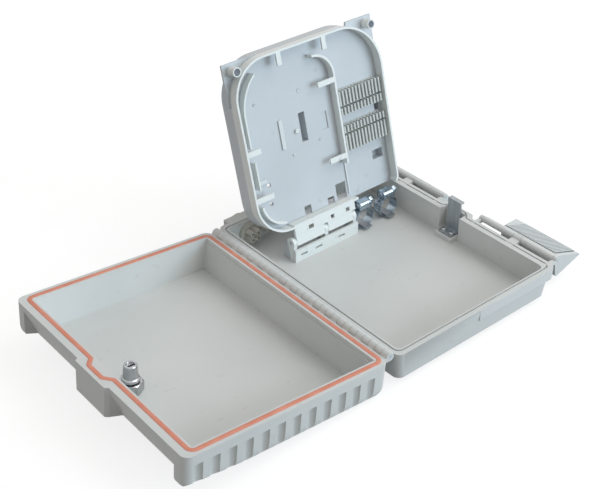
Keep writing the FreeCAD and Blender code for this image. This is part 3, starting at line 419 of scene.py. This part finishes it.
gasket = {"hinge": 9, "lock": 193.2, "half": 116.4, "jogOut": 199.2, "jogWide": 16.5, "jogNarrow": 9.5,
          "turn": 5.5, "jogTurn": 2.6, "wide": 3.0, "lip": 4.1, "seat": 2.35, "shoulder": 0.03, "crown": 0.42,
          "cornerSteps": 14, "crownSteps": 13, "sharp": 60}
bead = gasketBead(gasket)
addPiece("gasketBead", [(bead, True, True)], "cover", "seal_rubber", ["gasket"], gasket["sharp"])
print("seal bead laid in the cover")


def crossScrew(settings, spot, seat):
    # pan head whose top falls with the square of the radius, with a cross pressed in, on a plain shank
    head, shank = settings["head"], settings["shank"]
    brow, foot = settings["tall"] - settings["fall"], -settings["long"]
    ring = np.linspace(0, 1, settings["rings"])
    top = np.stack([ring * head * settings["crown"], settings["tall"] - settings["fall"] * ring ** 2], 1)
    rim = [(head, brow - settings["ease"]), (head, 0), (shank, 0), (shank, foot), (0, foot)]
    profile = np.concatenate([top, rim])

    def cross(radius, height, angle):
        x, y = np.abs(radius * np.cos(angle)), np.abs(radius * np.sin(angle))
        arm = 1 - softStep(settings["arm"], settings["armBlur"], np.minimum(x, y))
        reach = 1 - softStep(settings["reach"], settings["reachBlur"], np.maximum(x, y))
        upper = (np.arange(len(profile)) < len(top))[:, None]
        return height - settings["deep"] * arm * reach * upper

    return spun(profile, settings["round"], cross) + np.array([*spot, seat])


panScrew = {"head": 3.0, "tall": 1.8, "fall": 0.55, "crown": 0.93, "ease": 0.35, "shank": 1.6, "long": 4,
            "arm": 0.42, "armBlur": (0.8, 1.3), "reach": 1.75, "reachBlur": (0.85, 1.1), "deep": 1.0,
            "rings": 19, "round": 72}
screwSets = {
    "bracketScrews": {"spots": [(-38, 64.2), (9, 64.2)], "seat": 11.3, "node": "bracket_screws"},
    "catchScrews": {"spots": [(87.5, -5), (87.5, 5)], "seat": 14.2, "node": "lock_catch_screws"},
    "plateScrews": {"spots": [(31, 94), (73.5, 94)], "seat": 12.5, "node": "clamp_plate_screws"},
}
for name, group in screwSets.items():
    grids = [(crossScrew(panScrew, spot, group["seat"]), False, True) for spot in group["spots"]]
    addPiece(name, grids, "base", slotOf[group["node"]], [group["node"]])
print("pan-head screws set:", len(screwSets), "sets")


def clampBand(settings, x):
    # a thin ring round Y whose outer face is pressed with slanted worm slots between plain margins
    angle = fullTurn(settings["round"])[:, None]
    across = np.linspace(-1, 1, settings["columns"])[None, :]
    phase = (angle * settings["slots"] / (2 * math.pi) + across * settings["slant"]) % 1
    press = softStep(1, settings["land"], 0.5 - np.abs(phase - 0.5))
    inside = 1 - softStep(1, settings["margin"], np.abs(across))
    edge = settings["ease"] * np.abs(across) ** settings["easePower"]
    outer = settings["radius"] - settings["deep"] * press * inside - edge
    inner = np.full((settings["round"], 3), settings["radius"] - settings["thick"])
    radius = np.concatenate([outer, inner], 1)
    depth = np.concatenate([across[0], [1, 0, -1]])[None, :] * settings["wide"] / 2
    spot = np.stack([radius * np.sin(angle), depth + 0 * angle, radius * np.cos(angle)], -1)
    return spot + np.array([x, settings["middle"], settings["high"]])


def wormHousing(settings, x):
    # an arched tunnel: a squared ellipse across the band, drawn in at both mouths
    t = fullTurn(settings["round"])[None, :]
    station = np.array(settings["stations"])[:, None]
    draw = np.array(settings["draw"])[:, None]
    power = settings["square"]
    y = np.sign(np.cos(t)) * np.abs(np.cos(t)) ** power * settings["half"] * draw
    z = np.sign(np.sin(t)) * np.abs(np.sin(t)) ** power * settings["tall"] * draw
    spot = np.stack([station * settings["long"] + 0 * y, y, z], -1)
    return spot + np.array([x, settings["middle"], settings["high"]])


def wormScrew(settings, x):
    # a thread whose radius swings once a turn as it runs along X
    along = np.linspace(settings["start"], settings["end"], settings["rows"])[:, None]
    angle = fullTurn(settings["round"])[None, :]
    swing = np.abs((along / settings["pitch"] - angle / (2 * math.pi)) % 1 - 0.5) * 2
    radius = settings["core"] + settings["thread"] * softStep(1, settings["flank"], swing)
    radius = np.concatenate([0 * angle, radius, 0 * angle])
    along = np.concatenate([along[:1], along, along[-1:]])
    spot = np.stack([along + 0 * angle, radius * np.cos(angle), radius * np.sin(angle)], -1)
    return spot + np.array([x, settings["middle"], settings["high"]])


def slottedHex(settings, x):
    # six flats with a chamfered brow, and a straight slot cut across the face
    face = [(share, 1) for share in np.linspace(settings["brow"], 0, settings["rings"])]
    rows = np.asarray(settings["side"] + face)  # shares of the hexagon and of the length
    angle = fullTurn(settings["round"])[None, :]
    radius = np.minimum(rows[:, :1] * hexRadius(settings["flat"], angle), settings["corner"])
    along = settings["face"] + rows[:, 1:] * settings["long"] + 0 * angle
    y, z = radius * np.cos(angle), radius * np.sin(angle)
    cutIn = 1 - softStep(settings["slot"], settings["slotBlur"], np.abs(y))
    along = along - settings["slotDeep"] * cutIn * (rows[:, 1:] == 1)
    return np.stack([along, y, z], -1) + np.array([x, settings["middle"], settings["high"]])


band = {"radius": 11.3, "thick": 0.8, "wide": 9, "middle": 66, "high": 20.1, "slots": 34, "slant": 0.32,
        "deep": 0.38, "land": (0.12, 0.26), "margin": (0.5, 0.62), "ease": 0.12, "easePower": 8,
        "round": 408, "columns": 27}
housing = {"half": 5.5, "tall": 4.35, "long": 7, "square": 0.55, "middle": 66, "high": 33.45, "round": 56,
           "stations": [-1, -1, -0.97, -0.9, -0.45, 0, 0.45, 0.9, 0.97, 1, 1],
           "draw": [0, 0.90, 0.965, 1, 1, 1, 1, 1, 0.965, 0.90, 0]}
worm = {"start": -7.8, "end": 7.5, "pitch": 1.9, "core": 2.1, "thread": 0.5, "flank": (0.2, 0.8),
        "middle": 66, "high": 34.3, "rows": 120, "round": 48}
wormHead = {"face": 7.4, "long": 4, "flat": 3.25, "corner": 3.575, "slot": 0.55, "slotBlur": (0.8, 1.2),
            "slotDeep": 1.3, "side": [(0, 0), (1, 0), (1, 0.3), (1, 0.86), (0.88, 1)], "brow": 0.86,
            "middle": 66, "high": 34.3, "rings": 14, "round": 72}
clampPlaces = {"inner": 37, "outer": 67.5}
for name, x in clampPlaces.items():
    dressed = {
        "Band": [(clampBand(band, x), True, True)],
        "Housing": [(wormHousing(housing, x), False, True)],
        "Screw": [(wormScrew(worm, x), False, True), (slottedHex(wormHead, x), False, True)],
    }
    for kind, grids in dressed.items():
        replaced = "_".join(["clamp", kind.lower(), name])
        addPiece("clamp" + kind + name.capitalize(), grids, "base", "zinc_steel", [replaced])
print("hose clamps dressed")


def onLock(points, settings):
    # a turned shape set on the lock's axis in the cover, its X towards the hinge
    return coverToBox(points * np.array([-1, 1, 1]) + np.array([settings["reach"], 0, 0]))


def hexNut(settings):
    # a hexagonal ring; near the top and foot a cone takes the corners off
    low, high = settings["low"], settings["high"]
    drop = np.array(settings["drops"])
    z = np.concatenate([[low], low + drop, high - drop[::-1], [high]])[:, None]
    angle = fullTurn(settings["round"])[None, :]
    flat = settings["across"] / 2
    cone = flat * settings["face"] + np.minimum(z - low, high - z) / math.tan(math.radians(settings["cone"]))
    radius = np.minimum(hexRadius(flat, angle), cone)
    radius[[0, -1]] = settings["bore"]
    return onLock(np.stack([radius * np.cos(angle), radius * np.sin(angle), z + 0 * angle], -1), settings)


def lockKnob(settings):
    # key end, shaft, flared collar, tapered drum and cupped face in one turned profile,
    # with a slot at each end
    key, top, shaft, collar = settings["keyEnd"], settings["top"], settings["shaft"], settings["collar"]
    floor = top - settings["cupDeep"]
    profile = [(0, key), (shaft, key), (shaft, collar), (7.3, collar), (7.6, collar + 0.3),
               (7.6, collar + 2.3), (7.1, collar + 2.8), (6.3, collar + 3.3),
               (5.7, top - 1.2), (5.4, top - 0.4), (4.9, top), (3.9, top), (3.6, top - 0.3),
               (3.5, floor), (0, floor)]
    rows = fineRows(profile, settings["step"])
    number = np.arange(len(rows))[:, None]

    def slots(radius, height, angle):
        x, y = np.abs(radius * np.cos(angle)), np.abs(radius * np.sin(angle))
        inCup = (number > len(rows) - settings["cupRows"]) * (radius < settings["cupWide"])
        onKey = (number < settings["keyRows"]) * (radius < settings["keyWide"])
        cupSlot = 1 - softStep(settings["slot"], settings["slotBlur"], y)
        keySlot = 1 - softStep(settings["keySlot"], settings["keyBlur"], x)
        return height - settings["slotDeep"] * cupSlot * inCup + settings["keyDeep"] * keySlot * onKey

    return onLock(spun(rows, settings["round"], slots), settings)


def lockBarrel(settings):
    # a tube turned in one piece with a domed head on the cover's outer face
    front, top, bore, tube = settings["front"], settings["top"], settings["bore"], settings["tube"]
    profile = [(bore, front - 1.9), (6.8, front - 2), (8.0, front - 1.6), (8.5, front - 0.9), (8.5, front),
               (tube, front), (tube, top), (bore, top)]
    return onLock(spun(profile, settings["round"]), settings)


nut = {"reach": 168, "low": -32.2, "high": -22.2, "across": 18.5, "bore": 5.02, "face": 0.985, "cone": 30,
       "drops": [0, 0.25, 0.6, 1.1, 1.8], "round": 120, "sharp": 25}
knob = {"reach": 168, "top": -6.5, "keyEnd": -37.18, "shaft": 2.5, "collar": -21.5, "cupDeep": 1.4,
        "slot": 0.9, "slotBlur": (0.8, 1.15), "slotDeep": 2.6, "cupRows": 14, "cupWide": 3.45,
        "keySlot": 0.5, "keyBlur": (0.8, 1.2), "keyDeep": 1.2, "keyRows": 9, "keyWide": 2.3,
        "step": 0.32, "round": 96}
barrel = {"reach": 168, "front": -35.58, "top": -21.8, "bore": 2.56, "tube": 5, "round": 84}
knobGrid = lockKnob(knob)
addPiece("lockNut", [(hexNut(nut), True, True)], "cover", slotOf["lock_nut"], ["lock_nut"], nut["sharp"])
addPiece("lockKnob", [(knobGrid, False, True)], "lock_spindle", slotOf["lock_spindle"], ["lock_spindle"])
addPiece("lockBarrel", [(lockBarrel(barrel), True, True)], "cover", slotOf["lock_barrel"], ["lock_barrel"])
print("lock dressed")


def nozzle(settings, x, z):
    # a short tapered tube round Y with a rounded mouth, standing on the grommet's inner flange
    wide, tip, hole = settings["wide"], settings["tip"], settings["hole"]
    start, end = settings["start"], settings["start"] - settings["long"]
    profile = [(hole, start), (wide, start), (tip, end + 0.4), (tip - 0.25, end), (hole, end)]
    tube = spun(profile, settings["round"])
    return np.stack([tube[..., 0] + x, tube[..., 2], tube[..., 1] + z], -1)


spout = {"wide": 3.05, "tip": 2.85, "hole": 1.4, "start": 111.6, "long": 8.5, "round": 40}
dropSeal = {"x": -63.6, "z": 20.4, "ring": 4.4, "angles": [45, 135, 225, 315]}  # four drop cables in one seal
smallSeal = {"x": -46.2, "z": 20.4}
dropSpots = [(dropSeal["x"] + dropSeal["ring"] * math.cos(a), dropSeal["z"] + dropSeal["ring"] * math.sin(a))
             for a in np.radians(dropSeal["angles"])]
addPiece("dropNozzles", [(nozzle(spout, x, z), True, True) for x, z in dropSpots], "base", "grommet_rubber")
addPiece("smallNozzle", [(nozzle(spout, **smallSeal), True, True)], "base", "grommet_rubber")


def bufferDisc(settings, x):
    # a low disc with an eased rim and a faint hollow
    r, low, top, ease = settings["radius"], settings["low"], settings["top"], settings["ease"]
    profile = [(0, low), (r, low), (r, top - ease), (r - ease, top), (r * 0.6, top), (r * 0.45, top - 0.25),
               (0, top - 0.3)]
    return trayToBox(spun(profile, settings["round"]) + np.array([x, settings["up"], 0]))


buffer = {"radius": 3.15, "low": 3.9, "top": 5.1, "ease": 0.35, "up": 171, "sides": (-77, 77), "round": 48}
buffers = [(bufferDisc(buffer, x), False, True) for x in buffer["sides"]]
addPiece("trayBuffers", buffers, "tray", "dark_rubber", ["tray_buffers"])


def floorPip(settings, spot, radius, tall):
    # a round pip on the tray's floor: upright side, eased rim, and a top that dips to the middle
    low, top = settings["floor"] - settings["sink"], settings["floor"] + tall
    ease = min(settings["ease"], tall / 2)
    profile = [(0, low), (radius, low), (radius, top - ease), (radius - ease, top), (radius * 0.55, top),
               (radius * 0.4, top - ease), (0, top - ease)]
    return trayToBox(spun(profile, settings["round"]) + np.array([*spot, 0]))


pips = {"floor": -5, "sink": 0.3, "ease": 0.3, "round": 36}
pipSpots = [((-20.2, 98.1), 2.0, 2.2), ((-10.1, 133.6), 2.2, 0.5), ((-59.8, 135.3), 1.5, 0.7),
            ((-27.1, 77.3), 1.3, 0.9), ((5, 81.9), 1.4, 0.7)]  # place on the floor, radius, height
addPiece("trayPips", [(floorPip(pips, *pip), False, True) for pip in pipSpots], "tray", "tray_plastic")


def gripRidges(settings, sign, slope):
    # a plate cut by narrow grooves at every pitch along Y and tucked into the latch's sloping top;
    # both ends close on their middles, and the whole is turned about the latch's hinge
    low, high = settings["inner"], settings["outer"]
    y = np.linspace(low, high, int((high - low) / settings["pitch"] * settings["steps"]) + 1)
    phase = np.abs((y - settings["crest"]) / settings["pitch"] % 1 - 0.5)
    rise = settings["seat"] + settings["tall"] * softStep(settings["groove"], grooveBlur, phase)
    start, end, skirt = settings["start"], settings["end"], settings["skirt"]
    x = np.array([start - skirt, start, end, end + skirt])[None, :] + 0 * y[:, None]
    z = settings["root"] - settings["fall"] * x
    z[:, [0, 3]] -= settings["sink"]
    z[:, [1, 2]] += rise[:, None]
    section = np.stack([x, sign * y[:, None] + 0 * x, z], -1)
    middle = section[[0, -1]].mean(1, keepdims=True) + 0 * section[[0, -1]]
    section = np.concatenate([middle[:1], section, middle[1:]])
    c, s = math.cos(slope), math.sin(slope)
    turned = np.stack([section[..., 0] * c + section[..., 2] * s, section[..., 1],
                       section[..., 2] * c - section[..., 0] * s], -1)
    return turned + latchHinge


latchHinge = np.array(joints["latch_near_hinge"]["pos_m"]) / mm * np.array([1, 0, 1])
latchStances = {"latch_near": {"side": -1, "slope": 18}, "latch_far": {"side": 1, "slope": 38}}  # at rest
# the dark groove tone (78, 79, 78) is painted shade in the latch's grooves
ridges = {"inner": 47.6, "outer": 106.4, "start": 6.6, "end": 36.6, "root": 2.4, "fall": 1.4 / 39,
          "pitch": 2.45, "crest": 105.2, "groove": 0.24, "seat": 0.52, "tall": 0.75,
          "sink": 0.35, "skirt": 0.4, "grooveShade": (78, 79, 78), "steps": 12, "sharp": 30}
gripPlastic = mouldedPlastic("gripPlastic", {**shellTones, "lines": ridges})
for body, stance in latchStances.items():
    name = "gripRidges" + body.split("_")[1].capitalize()
    grid = gripRidges(ridges, stance["side"], math.radians(stance["slope"]))
    addPiece(name, [(grid, False, True)], body, "shell_plastic", (), ridges["sharp"], gripPlastic)
print("latch ridges cut")


def gateMark(settings):
    # a quarter ellipse turned into a low dome, its flat foot sunk below the base's floor
    foot = settings["floor"] - settings["sink"]
    tall = settings["tall"] + settings["sink"]
    t = np.linspace(0, math.pi / 2, settings["rings"])
    dome = np.stack([settings["radius"] * np.sin(t), foot + tall * np.cos(t)], 1)
    return spun(np.append(dome, [[0, foot]], 0), settings["round"])


gate = {"radius": 1.9, "tall": 0.5, "floor": 8.8, "sink": 0.2, "rings": 8, "round": 32}
addPiece("gateMark", [(gateMark(gate), False, True)], "base", "shell_plastic")
print("nozzles, buffers, pips and gate mark added")

# camera fitted to the photograph's straight edges, for a picture of 600 x 489
camera = {"place": (-0.6076, -0.6197, 0.6318), "lens": 69.814, "sensor": 36, "sees": 20,
          "right": (0.76845, -0.63989, -0.00526), "down": (-0.36563, -0.43232, -0.82426),
          "forward": (0.52516, 0.63533, -0.56618)}
cameraData = bpy.data.cameras.new("photoCamera")
cameraData.lens = camera["lens"]
cameraData.sensor_width = camera["sensor"]
cameraData.clip_end = camera["sees"]
cameraObject = bpy.data.objects.new("photoCamera", cameraData)
axes = [Vector(camera["right"]), -Vector(camera["down"]), -Vector(camera["forward"])]
turn = Matrix(axes).transposed().to_4x4()
cameraObject.matrix_world = Matrix.Translation(camera["place"]) @ turn
scene.collection.objects.link(cameraObject)
scene.camera = cameraObject

studio = {
    "sky": 0.57, "lean": 0.12, "skyColour": (1.0, 0.99, 0.97), "aim": (-0.05, 0, 0.05),
    "key": {"place": (1.0, -0.75, 2.0), "power": 16, "size": (1.4, 1.4), "colour": (1, 0.995, 0.98)},
    "window": {"place": (1.2, -2.05, 0.8), "power": 36, "size": (1.7, 1.2), "colour": (0.68, 0.86, 1.0)},
}


def backdropRays(tree):
    # 1 where the camera, a mirror or a clear piece looks at the backdrop, and 0 for its light
    rays = tree.nodes.new("ShaderNodeLightPath")
    seen = rays.outputs["Is Camera Ray"]
    for kind in ("Is Glossy Ray", "Is Transmission Ray"):
        most = tree.nodes.new("ShaderNodeMath")
        most.operation = "MAXIMUM"
        tree.links.new(seen, most.inputs[0])
        link(tree, rays, kind, most, 1)
        seen = most.outputs["Value"]
    return seen


world = bpy.data.worlds.new("studio")
scene.world = world
world.use_nodes = True
sky = world.node_tree
back = sky.nodes["Background"]
back.inputs["Color"].default_value = (*studio["skyColour"], 1)
heading = sky.nodes.new("ShaderNodeTexCoord")
parts = sky.nodes.new("ShaderNodeSeparateXYZ")
level = sky.nodes.new("ShaderNodeMath")
level.operation = "MULTIPLY_ADD"  # the sky is brighter towards +X by the lean
level.inputs[1].default_value = studio["sky"] * studio["lean"]
level.inputs[2].default_value = studio["sky"]
link(sky, heading, "Generated", parts, "Vector")
link(sky, parts, "X", level, 0)
link(sky, level, "Value", back, "Strength")
white = sky.nodes.new("ShaderNodeBackground")
white.inputs["Color"].default_value = (1, 1, 1, 1)
chooser = sky.nodes.new("ShaderNodeMixShader")
sky.links.new(backdropRays(sky), chooser.inputs["Fac"])
link(sky, back, "Background", chooser, 1)
link(sky, white, "Background", chooser, 2)
link(sky, chooser, "Shader", sky.nodes["World Output"], "Surface")


def softLight(name, settings):
    lamp = bpy.data.lights.new(name, "AREA")
    lamp.shape = "RECTANGLE"
    lamp.energy = settings["power"]
    lamp.size, lamp.size_y = settings["size"]
    lamp.color = settings["colour"]
    item = bpy.data.objects.new(name, lamp)
    item.location = settings["place"]
    aim = Vector(studio["aim"]) - Vector(settings["place"])
    item.rotation_euler = aim.to_track_quat("-Z", "Y").to_euler()
    scene.collection.objects.link(item)


softLight("keyLight", studio["key"])
softLight("windowLight", studio["window"])

paper = {"half": 6, "lump": 0.05, "tones": [(0.25, 0.25, 0.25, 1), (0.27, 0.27, 0.27, 1)],
         "glow": (0.8, 0.8, 0.8, 1)}
half = paper["half"]
corners = [(-half, -half, 0), (half, -half, 0), (half, half, 0), (-half, half, 0)]
floorMesh = bpy.data.meshes.new("paleFloor")
floorMesh.from_pydata(corners, [], [(0, 1, 2, 3)])
floor = bpy.data.objects.new("paleFloor", floorMesh)
scene.collection.objects.link(floor)
floorMaterial, tree, shader, coords = newMaterial("paleFloor", Roughness=0.9, Specular_IOR_Level=0.1)
lumps = noiseNode(tree, coords, paper["lump"])
tree.links.new(rampNode(tree, lumps, noiseSpan, paper["tones"]), shader.inputs["Base Color"])
glow = tree.nodes.new("ShaderNodeEmission")  # whitens the floor for the eye alone, so its light stays low
join = tree.nodes.new("ShaderNodeAddShader")
tree.links.new(backdropRays(tree), glow.inputs["Strength"])
glow.inputs["Color"].default_value = paper["glow"]
link(tree, shader, "BSDF", join, 0)
link(tree, glow, "Emission", join, 1)
link(tree, join, "Shader", tree.nodes["Material Output"], "Surface")
floorMesh.materials.append(floorMaterial)
scene.view_settings.view_transform = "Standard"
print("camera, light and floor set")
